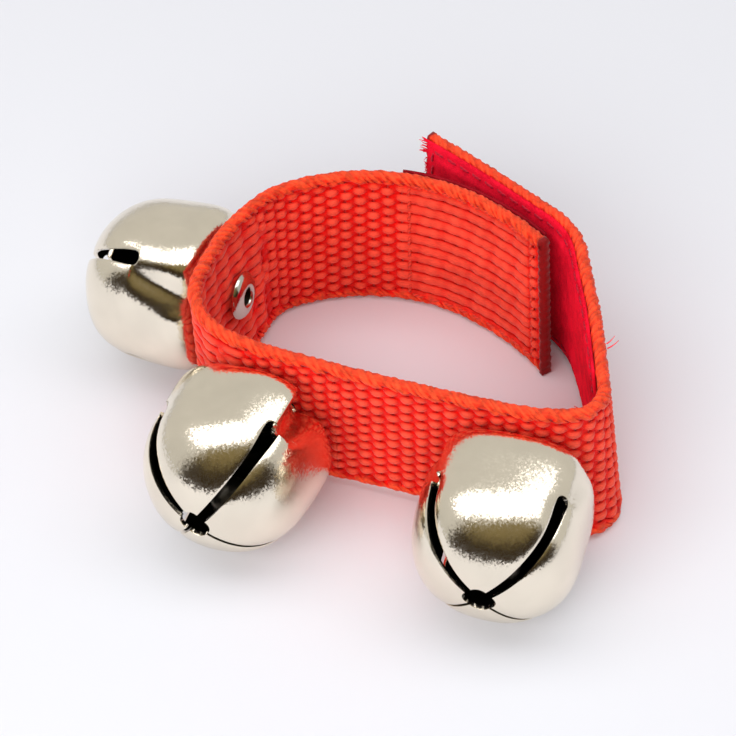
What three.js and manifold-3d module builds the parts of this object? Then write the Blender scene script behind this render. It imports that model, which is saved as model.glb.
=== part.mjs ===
// Wrist bells: four-petal jingle bells riveted to a webbing strap that closes with a hook-and-loop flap.
// Millimetres, +Z up. The strap stands on its lower edge, and the origin is under the middle of the object.
import * as THREE from "three";
import { mergeVertices } from "three/addons/utils/BufferGeometryUtils.js";
import Module from "manifold-3d";

// Strap
const STRAP_WIDTH = 25;
const STRAP_THICKNESS = 2;
const STRAP_STEP = 2.1;
const CUT_GAP = 0.4;
const TAIL_SLANT = 2.7;

// The strap's run in plan at half height, from the end of the tail: millimetres forward, degrees of left turn
const RUN_START = new THREE.Vector2(24.6, 1.1);
const RUN_HEADING = 125.5;
const RUNS = [
  [13.5, 19.5],
  [27.2, 58.5],
  [6, 37],
  [18, 9],
  [12.5, 88],
  [29.5, 5.5],
  [17, 3.5],
  [10.5, 106],
  [25.5, 5],
  [9.5, 37],
  [23.8, 5],
];
const RUN_LENGTH = RUNS.reduce((sum, [length]) => sum + length, 0);

// How the strap stands: along it, the degrees that its top leans outward and the lift of its lower edge
const STANCE = [
  { at: 0, lean: 0, lift: 0 },
  { at: 40, lean: 0, lift: 0 },
  { at: 55.5, lean: 6, lift: 0.9 },
  { at: 67, lean: 1.5, lift: 1.8 },
  { at: 83, lean: 4, lift: 0.45 },
  { at: 100, lean: 6, lift: 0.9 },
  { at: 118, lean: 6.5, lift: 0.9 },
  { at: 133, lean: -8, lift: 0 },
  { at: 152, lean: -5, lift: 0 },
  { at: 168, lean: -2, lift: 0 },
  { at: RUN_LENGTH, lean: 0, lift: 0 },
];

// The two bends that are worked in use
const TAIL_BEND = 30;
const FLAP_BEND = 134;

// Hook patch on the outside of the tail, loop patch on the inside of the flap
const HOOK_FROM = 1;
const HOOK_TO = 24.7;
const LOOP_FROM = 136.5;
const LOOP_TO = RUN_LENGTH - 0.6;
const TAPE_BASE = 0.45;
const TAPE_FIELD = 0.85;
const TAPE_BORDER = 2.2;
const TAPE_INSET = 0.5;
const TAPE_GAP = 0.15;

// Sewing thread
const THREAD_WIDTH = 0.5;
const THREAD_HEIGHT = 0.3;
const THREAD_INSET = 1.2;
const THREAD_GAP = 0.08;
const THREAD_STEP = 2.4;

// Bells: places along the strap, degrees that each swings left on its rivet and turns about it, length and
// squareness towards the mouth, where the slots end over the base, how deep the valleys beside the top petal are as a
// share of the radius, and the degrees from it over which a side petal falls into one, where it starts to climb
// again, and over which it climbs
const BELLS = [
  {
    name: "left", at: 55.2, swing: 4, roll: 12, length: 19.8, square: 2.6,
    slotFrom: 9.8, valley: { left: 0.2, right: 0.2 }, fall: 16, hold: 18, climb: 14,
  },
  {
    name: "middle", at: 82.4, swing: -3.2, roll: 12, length: 21, square: 2.2,
    slotFrom: 9.4, valley: { left: 0.42, right: 0.42 }, fall: 11, hold: 25, climb: 9,
  },
  {
    name: "right", at: 118.4, swing: -2.2, roll: 3, length: 21, square: 2.4,
    slotFrom: 9.4, valley: { left: 0.4, right: 0.08 }, fall: 12, hold: 20, climb: 9,
  },
];
const BELL_DIAMETER = 22.4;
const BELL_SHEET = 0.6;
const BELL_SQUARENESS_BASE = 6;
const BELL_BASE_RADIUS = 5;
const BELL_MOUTH_RADIUS = 2.3;
const BELL_RINGS = 11;
const BELL_SEGMENTS = 40;
const BELL_SEAT_GAP = 0.6;
const BELL_RISE = 0.2;
const SLOT_WIDTH = 1.4;
const SLOT_END_RADIUS = 1;

// Petals: squareness of the section at the base, the radius over which they leave its flat disc, and the power by
// which a valley keeps its depth towards the slot
const PETAL_SQUARENESS = 2.8;
const PETAL_RISE = 3.6;
const VALLEY_KEPT = 0.45;

// Pellet and rivet
const PELLET_RADIUS = 3.2;
const PELLET_GAP = 0.35;
const RIVET_SHANK = 1.7;
const RIVET_HOLE = 2;
const RIVET_HEAD = 3.2;
const RIVET_FLANGE = 3.6;
const RIVET_BORE = 1.2;
const RIVET_GAP = 0.5;
const RIVET_SEGMENTS = 18;

const WEBBING_RED = new THREE.MeshStandardMaterial({ color: 0xc8362a, roughness: 0.9 });
const HOOK_RED = new THREE.MeshStandardMaterial({ color: 0x9c1a26, roughness: 0.95 });
const LOOP_RED = new THREE.MeshStandardMaterial({ color: 0xb3182a, roughness: 1 });
const THREAD_RED = new THREE.MeshStandardMaterial({ color: 0xd2442f, roughness: 0.8 });
const NICKEL = new THREE.MeshStandardMaterial({ color: 0xd8d3c8, roughness: 0.15, metalness: 1 });
const STEEL = new THREE.MeshStandardMaterial({ color: 0xb8b8b4, roughness: 0.3, metalness: 1 });

const wasm = await Module();
wasm.setup();

function toSolid(geometry) {
  const bare = geometry.clone();
  bare.deleteAttribute("normal");
  bare.deleteAttribute("uv");
  const merged = mergeVertices(bare, 1e-4);
  const mesh = new wasm.Mesh({
    numProp: 3,
    vertProperties: new Float32Array(merged.attributes.position.array),
    triVerts: new Uint32Array(merged.index.array),
  });
  return new wasm.Manifold(mesh);
}

function fromSolid(solid) {
  const mesh = solid.getMesh();
  const geometry = new THREE.BufferGeometry();
  geometry.setAttribute("position", new THREE.BufferAttribute(mesh.vertProperties, 3));
  geometry.setIndex(new THREE.BufferAttribute(mesh.triVerts, 1));
  geometry.computeVertexNormals();
  return geometry;
}

function cut(geometry, tools) {
  return fromSolid(tools.reduce((solid, tool) => solid.subtract(toSolid(tool)), toSolid(geometry)));
}

function join(first, second) {
  return fromSolid(toSolid(first).add(toSolid(second)));
}

// Point and heading of the run at an arc length
function runAt(at) {
  const point = RUN_START.clone();
  let heading = THREE.MathUtils.degToRad(RUN_HEADING);
  let left = at;
  for (const [length, turn] of RUNS) {
    const bend = THREE.MathUtils.degToRad(turn) / length;
    const step = Math.min(length, left);
    const next = heading + bend * step;
    point.x += (Math.sin(next) - Math.sin(heading)) / bend;
    point.y += (Math.cos(heading) - Math.cos(next)) / bend;
    heading = next;
    left -= step;
    if (left <= 0) {
      break;
    }
  }
  return { point, heading };
}

// Lean in radians and lift at an arc length, eased between the stances
function stanceAt(at) {
  const last = STANCE.findIndex((stance) => stance.at >= at);
  const to = STANCE[Math.max(last, 1)];
  const from = STANCE[Math.max(last, 1) - 1];
  const share = THREE.MathUtils.smoothstep(at, from.at, to.at);
  const lean = THREE.MathUtils.lerp(from.lean, to.lean, share);
  return { lean: THREE.MathUtils.degToRad(lean), lift: THREE.MathUtils.lerp(from.lift, to.lift, share) };
}

// A point on the strap: along it, outward from its middle surface, and up its width. The tail's end is cut
// aslant, so its lower corner reaches further.
function onStrap(along, outward, up) {
  const slant = TAIL_SLANT * (1 - up / STRAP_WIDTH) * Math.max(0, 1 - along / TAIL_BEND);
  const { point, heading } = runAt(along - slant);
  const { lean, lift } = stanceAt(along);
  const reach = outward + (up - STRAP_WIDTH / 2) * Math.sin(lean);
  return new THREE.Vector3(
    point.x + Math.sin(heading) * reach,
    point.y - Math.cos(heading) * reach,
    lift + up * Math.cos(lean),
  );
}

// Bends flat work onto the strap: x runs along it, y inward and z up its width
function wrap(geometry) {
  const position = geometry.attributes.position;
  for (let i = 0; i < position.count; i += 1) {
    const bent = onStrap(position.getX(i), -position.getY(i), position.getZ(i));
    position.setXYZ(i, bent.x, bent.y, bent.z);
  }
  geometry.computeVertexNormals();
  return geometry;
}

function ribbon(from, to, inner, outer, low, high) {
  const steps = Math.ceil((to - from) / STRAP_STEP);
  const box = new THREE.BoxGeometry(to - from, outer - inner, high - low, steps, 1, 1);
  box.translate((from + to) / 2, -(inner + outer) / 2, (low + high) / 2);
  return wrap(box);
}

// A tape with a thin sewn border and a raised field; side is 1 outside the strap and -1 inside
function tape(from, to, side) {
  const seat = STRAP_THICKNESS / 2 + TAPE_GAP;
  const low = TAPE_INSET;
  const high = STRAP_WIDTH - TAPE_INSET;
  const faces = (near, far) => (side > 0 ? [near, far] : [-far, -near]);
  const [baseInner, baseOuter] = faces(seat, seat + TAPE_BASE);
  const [fieldInner, fieldOuter] = faces(seat + TAPE_BASE / 2, seat + TAPE_FIELD);
  const base = ribbon(from, to, baseInner, baseOuter, low, high);
  const field = ribbon(
    from + TAPE_BORDER, to - TAPE_BORDER, fieldInner, fieldOuter, low + TAPE_BORDER, high - TAPE_BORDER,
  );
  return join(base, field);
}

// A sewn box of thread round a tape's border, lying on the face at a given distance outward
function threadBox(from, to, face, side) {
  const left = from + THREAD_INSET;
  const right = to - THREAD_INSET;
  const low = TAPE_INSET + THREAD_INSET;
  const high = STRAP_WIDTH - low;
  const long = right - left;
  const tall = high - low;
  const round = 2 * (long + tall);
  const corners = [0, long, long + tall, 2 * long + tall];
  const stops = [];
  corners.forEach((corner, i) => {
    const end = i < 3 ? corners[i + 1] : round;
    const steps = Math.ceil((end - corner) / THREAD_STEP);
    for (let k = 0; k < steps; k += 1) {
      stops.push(corner + ((end - corner) * k) / steps);
    }
  });
  const place = (run) => {
    if (run <= long) {
      return [left + run, low];
    }
    if (run <= long + tall) {
      return [right, low + run - long];
    }
    if (run <= 2 * long + tall) {
      return [right - (run - long - tall), high];
    }
    return [left, high - (run - 2 * long - tall)];
  };
  const middle = [(left + right) / 2, (low + high) / 2];
  const inner = side > 0 ? face : face - THREAD_HEIGHT;
  const torus = new THREE.TorusGeometry(1, 0.1, 4, stops.length);
  const position = torus.attributes.position;
  const uv = torus.attributes.uv;
  for (let i = 0; i < position.count; i += 1) {
    const [x, z] = place(stops[Math.round(uv.getX(i) * stops.length) % stops.length]);
    const corner = Math.round(uv.getY(i) * 4) % 4;
    const wide = corner === 0 || corner === 3 ? 0.5 : -0.5;
    const out = Math.abs(x - middle[0]) > long / 2 - 1e-6 ? Math.sign(x - middle[0]) : 0;
    const rise = Math.abs(z - middle[1]) > tall / 2 - 1e-6 ? Math.sign(z - middle[1]) : 0;
    const away = inner + (corner < 2 ? THREAD_HEIGHT : 0);
    position.setXYZ(i, x + out * wide * THREAD_WIDTH, -away, z + rise * wide * THREAD_WIDTH);
  }
  return wrap(torus);
}

// Half of a bell's outline as points of radius and height over the base: a flattened superellipse
function outline({ length, square }, radius, half, floor) {
  const points = [];
  const flat = (BELL_BASE_RADIUS / (BELL_DIAMETER / 2)) ** BELL_SQUARENESS_BASE;
  const sink = (length / 2) * (1 - (1 - flat) ** (1 / BELL_SQUARENESS_BASE));
  const from = angleFor(BELL_BASE_RADIUS, radius, BELL_SQUARENESS_BASE);
  const to = Math.PI - angleFor(BELL_MOUTH_RADIUS, radius, square);
  for (let i = 0; i <= BELL_RINGS; i += 1) {
    const angle = THREE.MathUtils.lerp(from, to, i / BELL_RINGS);
    const squareness = angle < Math.PI / 2 ? BELL_SQUARENESS_BASE : square;
    const wide = radius * Math.sin(angle) ** (2 / squareness);
    const along = Math.sign(Math.cos(angle)) * Math.abs(Math.cos(angle)) ** (2 / squareness);
    points.push(new THREE.Vector2(wide, Math.max(length / 2 - half * along - sink, floor)));
  }
  return points;
}

function angleFor(wide, radius, squareness) {
  return Math.asin((wide / radius) ** (squareness / 2));
}

// Squares a turned bell's section near its base and draws in the valleys between its petals
function pressPetals(geometry, bell) {
  const { slotFrom, hold, climb } = bell;
  const position = geometry.attributes.position;
  for (let i = 0; i < position.count; i += 1) {
    const x = position.getX(i);
    const y = position.getY(i);
    const z = position.getZ(i);
    const turn = Math.atan2(x, z);
    const past = Math.hypot(x, z) - BELL_BASE_RADIUS;
    const rise = y > slotFrom ? 1 : THREE.MathUtils.smoothstep(past, 0, PETAL_RISE);
    const power = THREE.MathUtils.lerp(PETAL_SQUARENESS, 2, THREE.MathUtils.smoothstep(y, 0, 2.6 * slotFrom));
    const square = (Math.abs(Math.cos(turn)) ** power + Math.abs(Math.sin(turn)) ** power) ** (-1 / power);
    const valley = turn > 0 ? bell.valley.left : bell.valley.right;
    const depth = valley * Math.max(0, 1 - y / slotFrom) ** VALLEY_KEPT * rise;
    const petal = Math.round(turn / (Math.PI / 2));
    const corner = 45 - Math.abs(THREE.MathUtils.radToDeg(turn) - 90 * petal);
    const fall = THREE.MathUtils.smoothstep(corner, 0, bell.fall);
    const fold = fall * Math.exp(-((Math.max(0, corner - hold) / climb) ** 1.5));
    const folded = petal % 2 !== 0 && Math.cos(turn) > 0;
    const scale = (1 + (square - 1) * rise) * (folded ? 1 - depth * fold : 1);
    position.setX(i, x * scale);
    position.setZ(i, z * scale);
  }
  return geometry;
}

// A bell shell about +Y, its flat base at y = 0 with the rivet's hole, cut by a cross of two slots
function bellShell(bell) {
  const radius = BELL_DIAMETER / 2;
  const half = bell.length / 2;
  const outer = outline(bell, radius, half, 0);
  const inner = outline(bell, radius - BELL_SHEET, half - BELL_SHEET, BELL_SHEET).reverse();
  const first = new THREE.Vector2(RIVET_HOLE, 0);
  const profile = [first, ...outer, ...inner, new THREE.Vector2(RIVET_HOLE, BELL_SHEET), first.clone()];
  const turned = pressPetals(new THREE.LatheGeometry(profile, BELL_SEGMENTS), bell);
  const tools = [];
  for (const turn of [45, 135]) {
    const slot = new THREE.BoxGeometry(SLOT_WIDTH, bell.length, 2 * BELL_DIAMETER);
    slot.translate(0, bell.slotFrom + half, 0);
    const end = new THREE.CylinderGeometry(SLOT_END_RADIUS, SLOT_END_RADIUS, 2 * BELL_DIAMETER, 12);
    end.rotateX(Math.PI / 2);
    end.translate(0, bell.slotFrom, 0);
    for (const tool of [slot, end]) {
      tools.push(tool.rotateY(THREE.MathUtils.degToRad(turn)));
    }
  }
  return cut(turned, tools);
}

// A tubular rivet about +Y: a head inside the bell, a shank, and a rolled flange on the strap's inner face
function rivet() {
  const head = BELL_SHEET + 0.25;
  const flange = -(BELL_SEAT_GAP + STRAP_THICKNESS + RIVET_GAP);
  const profile = [
    [0, flange + 2],
    [RIVET_BORE, flange + 2],
    [RIVET_BORE, flange - 0.5],
    [RIVET_BORE + 0.45, flange - 0.95],
    [RIVET_FLANGE - 1.7, flange - 1],
    [RIVET_FLANGE - 0.5, flange - 0.65],
    [RIVET_FLANGE, flange - 0.25],
    [RIVET_FLANGE - 0.3, flange],
    [RIVET_SHANK, flange],
    [RIVET_SHANK, head],
    [RIVET_HEAD, head],
    [RIVET_HEAD, head + 0.5],
    [RIVET_HEAD - 1, head + 1.1],
    [0, head + 1.3],
  ].map(([wide, high]) => new THREE.Vector2(wide, high));
  return new THREE.LatheGeometry(profile, RIVET_SEGMENTS);
}

function addMesh(parent, name, geometry, material) {
  const mesh = new THREE.Mesh(geometry, material);
  mesh.name = name;
  parent.add(mesh);
  return mesh;
}

// The frame of a bell's seat: +Y out along its rivet, +Z up the strap
function bellSeat({ at, swing }) {
  const heading = runAt(at).heading + THREE.MathUtils.degToRad(swing);
  const { lean } = stanceAt(at);
  const outward = new THREE.Vector3(Math.sin(heading), -Math.cos(heading), 0);
  const up = new THREE.Vector3(0, 0, Math.cos(lean)).addScaledVector(outward, Math.sin(lean));
  const axis = outward.multiplyScalar(Math.cos(lean)).add(new THREE.Vector3(0, 0, -Math.sin(lean)));
  const base = onStrap(at, 0, STRAP_WIDTH / 2 + BELL_RISE)
    .addScaledVector(axis, (STRAP_THICKNESS / 2) * Math.cos(lean) + BELL_SEAT_GAP);
  const seat = new THREE.Group();
  seat.quaternion.setFromRotationMatrix(
    new THREE.Matrix4().makeBasis(new THREE.Vector3().crossVectors(axis, up), axis, up),
  );
  seat.position.copy(base);
  return { seat, axis, base };
}

const wristBells = new THREE.Group();
wristBells.name = "wrist_bells";

const half = STRAP_THICKNESS / 2;
const holes = BELLS.map((bell) => {
  const { seat } = bellSeat(bell);
  const hole = new THREE.CylinderGeometry(RIVET_HOLE, RIVET_HOLE, 4 * STRAP_THICKNESS, 16);
  seat.updateMatrix();
  return hole.translate(0, -half, 0).applyMatrix4(seat.matrix);
});
const band = ribbon(TAIL_BEND + CUT_GAP / 2, FLAP_BEND - CUT_GAP / 2, -half, half, 0, STRAP_WIDTH);
addMesh(wristBells, "strap_band", cut(band, holes), WEBBING_RED);
const tail = ribbon(0, TAIL_BEND - CUT_GAP / 2, -half, half, 0, STRAP_WIDTH);
addMesh(wristBells, "strap_tail", tail, WEBBING_RED);
const flap = ribbon(FLAP_BEND + CUT_GAP / 2, RUN_LENGTH, -half, half, 0, STRAP_WIDTH);
addMesh(wristBells, "strap_flap", flap, WEBBING_RED);

addMesh(wristBells, "hook_patch", tape(HOOK_FROM, HOOK_TO, 1), HOOK_RED);
addMesh(wristBells, "loop_patch", tape(LOOP_FROM, LOOP_TO, -1), LOOP_RED);
const clothFace = half + THREAD_GAP;
const tapeFace = half + TAPE_GAP + TAPE_BASE + THREAD_GAP;
addMesh(wristBells, "hook_needle_thread", threadBox(HOOK_FROM, HOOK_TO, -clothFace, -1), THREAD_RED);
addMesh(wristBells, "hook_bobbin_thread", threadBox(HOOK_FROM, HOOK_TO, tapeFace, 1), THREAD_RED);
addMesh(wristBells, "loop_needle_thread", threadBox(LOOP_FROM, LOOP_TO, clothFace, 1), THREAD_RED);
addMesh(wristBells, "loop_bobbin_thread", threadBox(LOOP_FROM, LOOP_TO, -tapeFace, -1), THREAD_RED);

for (const bell of BELLS) {
  const { name, roll, length } = bell;
  const { seat, axis, base } = bellSeat(bell);
  wristBells.add(seat);
  const shell = addMesh(seat, `bell_shell_${name}`, bellShell(bell), NICKEL);
  shell.rotation.y = THREE.MathUtils.degToRad(roll);
  addMesh(seat, `rivet_${name}`, rivet(), STEEL);
  const pellet = addMesh(
    wristBells, `pellet_${name}`, new THREE.SphereGeometry(PELLET_RADIUS, 14, 9), STEEL,
  );
  const drop = BELL_DIAMETER / 2 - BELL_SHEET - PELLET_RADIUS - PELLET_GAP;
  pellet.position.copy(base).addScaledVector(axis, length / 2 - 0.4);
  pellet.position.z -= drop;
}

// The origin lies on the floor under the middle of the object
wristBells.updateMatrixWorld(true);
const bounds = new THREE.Box3().setFromObject(wristBells, true);
const middle = bounds.getCenter(new THREE.Vector3());
wristBells.position.set(-middle.x, -middle.y, -bounds.min.z);
wristBells.updateMatrixWorld(true);

export default wristBells;
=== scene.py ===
"""Wrist bells: three four-petal jingle bells riveted to a webbing strap with a hook-and-loop flap."""
import math
from collections import namedtuple

import bmesh
import bpy
import numpy as np
from bpy.props import FloatProperty, FloatVectorProperty, IntProperty, PointerProperty
from mathutils import Matrix, Vector, noise


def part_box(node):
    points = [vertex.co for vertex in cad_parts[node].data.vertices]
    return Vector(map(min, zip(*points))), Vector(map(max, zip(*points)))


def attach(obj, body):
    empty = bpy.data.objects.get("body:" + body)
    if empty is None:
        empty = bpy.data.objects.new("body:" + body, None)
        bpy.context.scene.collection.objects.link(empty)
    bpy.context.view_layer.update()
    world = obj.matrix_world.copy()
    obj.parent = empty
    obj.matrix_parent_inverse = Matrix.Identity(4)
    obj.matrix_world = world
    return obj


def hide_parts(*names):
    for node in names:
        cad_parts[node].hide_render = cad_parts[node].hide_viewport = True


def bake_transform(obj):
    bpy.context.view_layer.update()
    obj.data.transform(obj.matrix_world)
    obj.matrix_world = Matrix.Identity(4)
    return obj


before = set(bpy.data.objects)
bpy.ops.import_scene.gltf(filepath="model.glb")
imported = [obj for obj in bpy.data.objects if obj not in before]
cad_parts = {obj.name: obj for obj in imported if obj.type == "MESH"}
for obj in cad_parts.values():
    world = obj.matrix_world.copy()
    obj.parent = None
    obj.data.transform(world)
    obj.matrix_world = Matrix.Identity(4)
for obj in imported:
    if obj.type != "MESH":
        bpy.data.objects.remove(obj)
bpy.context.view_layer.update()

bl_info = {
    "name": "Wrist Bells",
    "version": (1, 0, 0),
    "blender": (4, 5, 0),
    "location": "View3D > Sidebar > Wrist Bells",
    "description": "Makes a webbing wrist strap with riveted jingle bells",
    "category": "Add Mesh",
}

MM = 0.001

# The strap's run in plan at half height, from the tail's end: millimetres forward, degrees of left turn
PLAN_ORIGIN = (2.432, 14.176)
RUN_START = (24.6, 1.1)
RUN_HEADING = 125.5
RUNS = (
    (13.5, 19.5),
    (27.2, 58.5),
    (6, 37),
    (18, 9),
    (12.5, 88),
    (29.5, 5.5),
    (17, 3.5),
    (10.5, 106),
    (25.5, 5),
    (9.5, 37),
    (23.8, 5),
)
RUN_LENGTH = sum(length for length, _ in RUNS) * MM

# How the strap stands: millimetres along it, degrees that its top leans outward, lift of its lower edge
STANCE = (
    (0, 0, 0),
    (40, 0, 0),
    (55.5, 6, 0.9),
    (67, 1.5, 1.8),
    (83, 4, 0.45),
    (100, 6, 0.9),
    (118, 6.5, 0.9),
    (133, -8, 0),
    (152, -5, 0),
    (168, -2, 0),
    (193, 0, 0),
)

# Bells: millimetres along the strap, degrees of swing to the left and of turn about the rivet, length and
# squareness towards the mouth, where the slots end and their width, depths of the valleys left and right of
# the top petal as shares of the radius, and the degrees from that petal over which a side petal falls into a
# valley, at which it starts to climb again, and over which it climbs
BellShape = namedtuple(
    "BellShape",
    "name at swing roll length square slot_from slot_width valley_left valley_right fall hold climb",
)
BELLS = (
    BellShape("left", 55.2, 4, 12, 19.8, 2.6, 9.8, 1.5, 0.15, 0.15, 26, 26, 18),
    BellShape("middle", 82.4, -3.2, 12, 21, 2.2, 9.4, 1.55, 0.42, 0.42, 11, 25, 9),
    BellShape("right", 118.4, -2.2, 3, 21, 2.4, 9.4, 1.3, 0.4, 0.03, 12, 20, 9),
)

# Metals: least and most roughness, size of the grains and how far they lean
Plating = namedtuple("Plating", "name smooth rough grit tilt")
SHEET = Plating("nickel_plated_sheet", 0.15, 0.21, 0.22 * MM, 0.09)
# The inside of a bell is rougher steel, coloured near black as painted shade
SHEET_INSIDE = Plating("steel_inside_painted_shade", 0.5, 0.65, 0.5 * MM, 0.05)
RIVET = Plating("nickel_plated_rivet", 0.1, 0.2, 0.3 * MM, 0.04)
# The rivet's bore is coloured near black as painted shade
RIVET_BORE = Plating("rivet_bore_painted_shade", 0.6, 0.7, 0.5 * MM, 0.05)
# The pellets' colour is darkened as painted shade
SHOT = Plating("tumbled_steel_pellet_painted_shade", 0.25, 0.45, 0.4 * MM, 0.1)

# Ribs of warps held flat: millimetres along the strap where they begin and end, over what run, and how flat
RibZone = namedtuple("RibZone", "start rise end fall held")
SEAM_RIBS = RibZone(2.2, 1.2, 25.5, 2, 0.85)
RIVET_RIBS = RibZone(45, 5, 80, 6, 0.7)
RAGGED = 7 * MM

# Outermost warp, core yarn and centre of the selvedge's loops, from the webbing's edge
EDGE_INSET = 1.55 * MM
CORE_INSET = 1.02 * MM
LOOP_INSET = 1.1 * MM

# Frayed fibres on the loop tape's upper edge and end, and loose threads: millimetres along, up and out
EDGE_FIBRES = 260
END_FIBRES = 80
LOOSE_THREADS = (
    (140.6, 24.4, 1.5),
    (141.4, 24.5, 1.1),
    (149.5, 1.4, -2.4),
    (148.6, 3.2, -2.0),
)
HOOK_GAP = 1.15

# Camera: focal length in millimetres, and where it stands from the middle of the plan in metres
CAMERA_LENS = 116.4
CAMERA_AWAY = (0, -0.2431, 0.2518)

# Where the two lengths of cloth meet, which is a crossing of the weave
CLOTH_JOIN = 92.25 * MM


def linear(code):
    """Linear colour of an sRGB hex value."""
    parts = [int(code[i:i + 2], 16) / 255 for i in (0, 2, 4)]
    return tuple(p / 12.92 if p <= 0.04045 else ((p + 0.055) / 1.055) ** 2.4 for p in parts) + (1.0,)


def measure(name, description, metres):
    """A length in a group of sizes."""
    return FloatProperty(name=name, description=description, default=metres, unit="LENGTH")


def ratio(name, description, value):
    """A plain number in a group of sizes."""
    return FloatProperty(name=name, description=description, default=value)


def swatch(name, description, code):
    """A colour in the group of finishes, from an sRGB hex value."""
    return FloatVectorProperty(
        name=name, description=description, default=linear(code), subtype="COLOR", size=4
    )


class StrapSizes(bpy.types.PropertyGroup):
    """Sizes of the webbing and the tapes sewn to it."""

    width: measure("Width", "Width of the webbing", 25 * MM)
    thickness: measure("Thickness", "Thickness of the webbing", 2 * MM)
    tail_slant: measure("Tail slant", "How far the tail's lower corner reaches out", 2.7 * MM)
    tail_bend: measure("Tail bend", "Where the tail flexes, from its end", 30 * MM)
    pick: measure("Pick", "Spacing of the weft", 2.05 * MM)
    warps: IntProperty(name="Warps", description="Warp yarns between the selvedges", default=24)
    crimp: measure("Crimp", "How far a warp yarn swings from the middle", 0.5 * MM)
    hook_from: measure("Hook from", "Start of the hook patch", 1 * MM)
    hook_to: measure("Hook to", "End of the hook patch", 24.7 * MM)
    loop_from: measure("Loop from", "Start of the loop patch", 136.5 * MM)
    loop_to: measure("Loop to", "End of the loop patch", RUN_LENGTH - 0.6 * MM)
    tape_base: measure("Tape base", "Thickness of a tape's border", 0.45 * MM)
    tape_field: measure("Tape field", "Thickness of a tape's raised field", 0.85 * MM)
    tape_border: measure("Tape border", "Width of a tape's sewn border", 2.2 * MM)
    tape_inset: measure("Tape inset", "Tape edge to webbing edge", 0.5 * MM)
    stitch: measure("Stitch", "Length of a stitch", 2.4 * MM)
    stitch_inset: measure("Stitch inset", "Stitch line to tape edge", 1.2 * MM)


class BellSizes(bpy.types.PropertyGroup):
    """Sizes of the bells, their rivets and pellets."""

    diameter: measure("Diameter", "Bell's diameter", 22.4 * MM)
    sheet: measure("Sheet", "Thickness of the sheet", 0.6 * MM)
    base: measure("Base", "Radius of the flat base", 5 * MM)
    mouth: measure("Mouth", "Radius of the mouth", 2.3 * MM)
    square_base: ratio("Base squareness", "Superellipse power of the base half", 6.0)
    slot_flare: ratio("Slot flare", "Slot's round end to its width", 1.4)
    petal_square: ratio("Petal squareness", "Superellipse power of the section at the base", 2.8)
    side_square: ratio("Side squareness", "How much squarer the other petals are than the top one", 0.3)
    valley_kept: ratio("Valley kept", "Power by which a valley keeps its depth towards the slot", 0.45)
    curl: measure("Curl", "How far a petal's edge turns in", 0.28 * MM)
    seat_gap: measure("Seat gap", "Bell to webbing", 0.6 * MM)
    rise: measure("Rise", "Rivet over the strap's middle", 0.2 * MM)
    pellet: measure("Pellet", "Pellet's radius", 3.2 * MM)


class Finishes(bpy.types.PropertyGroup):
    """Colours of the finishes."""

    yarn: swatch("Yarn", "Webbing yarn", "FF563E")
    # Painted shade in the gaps between the yarns
    yarn_gap_shade: swatch("Yarn, deep", "Webbing between yarns", "EE1008")
    selvedge: swatch("Selvedge", "Webbing's edge", "FC5028")
    # Painted shade on the cut ends
    fused_end_shade: swatch("Fused", "Painted shade on the webbing's melted ends", "8E1214")
    pile: swatch("Pile", "Loop tape", "FF1A38")
    hooks: swatch("Hooks", "Hook tape", "9C1624")
    thread: swatch("Thread", "Sewing thread", "E8402C")
    bobbin: swatch("Bobbin", "Thread on the tapes' faces", "C00A2C")
    nickel: swatch("Nickel", "Nickel plate", "F2E8D6")
    # Painted shade for the bells' inner walls and the rivets' bores
    inside: swatch("Inside", "Painted shade inside the bells and the rivets' bores", "3A342C")
    steel: swatch("Steel", "Rivets", "CFCBC2")
    # Pellets darkened with painted shade, since they sit inside the bells
    shot_shaded: swatch("Shot", "Pellets", "7C766C")
    floor: swatch("Floor", "Floor", "E9EAF0")


def run_at(along):
    """Plan points and headings of the run at distances along it, in metres and radians."""
    along = np.asarray(along, float)
    lengths = np.array([length for length, _ in RUNS]) * MM
    bends = np.radians([turn for _, turn in RUNS]) / lengths
    starts = np.concatenate([[0], np.cumsum(lengths)])
    headings = math.radians(RUN_HEADING) + np.concatenate([[0], np.cumsum(bends * lengths)])
    x = [RUN_START[0] * MM]
    y = [RUN_START[1] * MM]
    for i, bend in enumerate(bends):
        x.append(x[-1] + (math.sin(headings[i + 1]) - math.sin(headings[i])) / bend)
        y.append(y[-1] + (math.cos(headings[i]) - math.cos(headings[i + 1])) / bend)
    arc = np.clip(np.searchsorted(starts, along, side="right") - 1, 0, len(bends) - 1)
    heading = headings[arc] + bends[arc] * (along - starts[arc])
    point_x = np.array(x)[arc] + (np.sin(heading) - np.sin(headings[arc])) / bends[arc]
    point_y = np.array(y)[arc] + (np.cos(headings[arc]) - np.cos(heading)) / bends[arc]
    return point_x, point_y, heading


def ease(share):
    """Smooth step of shares held between 0 and 1."""
    share = np.clip(share, 0, 1)
    return share * share * (3 - 2 * share)


def stance_at(along):
    """Lean in radians and lift in metres at distances along the strap, eased between the stances."""
    along = np.asarray(along, float) / MM
    at, lean, lift = np.array(STANCE, float).T
    to = np.clip(np.searchsorted(at, along, side="left"), 1, len(at) - 1)
    share = ease((along - at[to - 1]) / (at[to] - at[to - 1]))
    leans = lean[to - 1] + (lean[to] - lean[to - 1]) * share
    return np.radians(leans), (lift[to - 1] + (lift[to] - lift[to - 1]) * share) * MM


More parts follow.
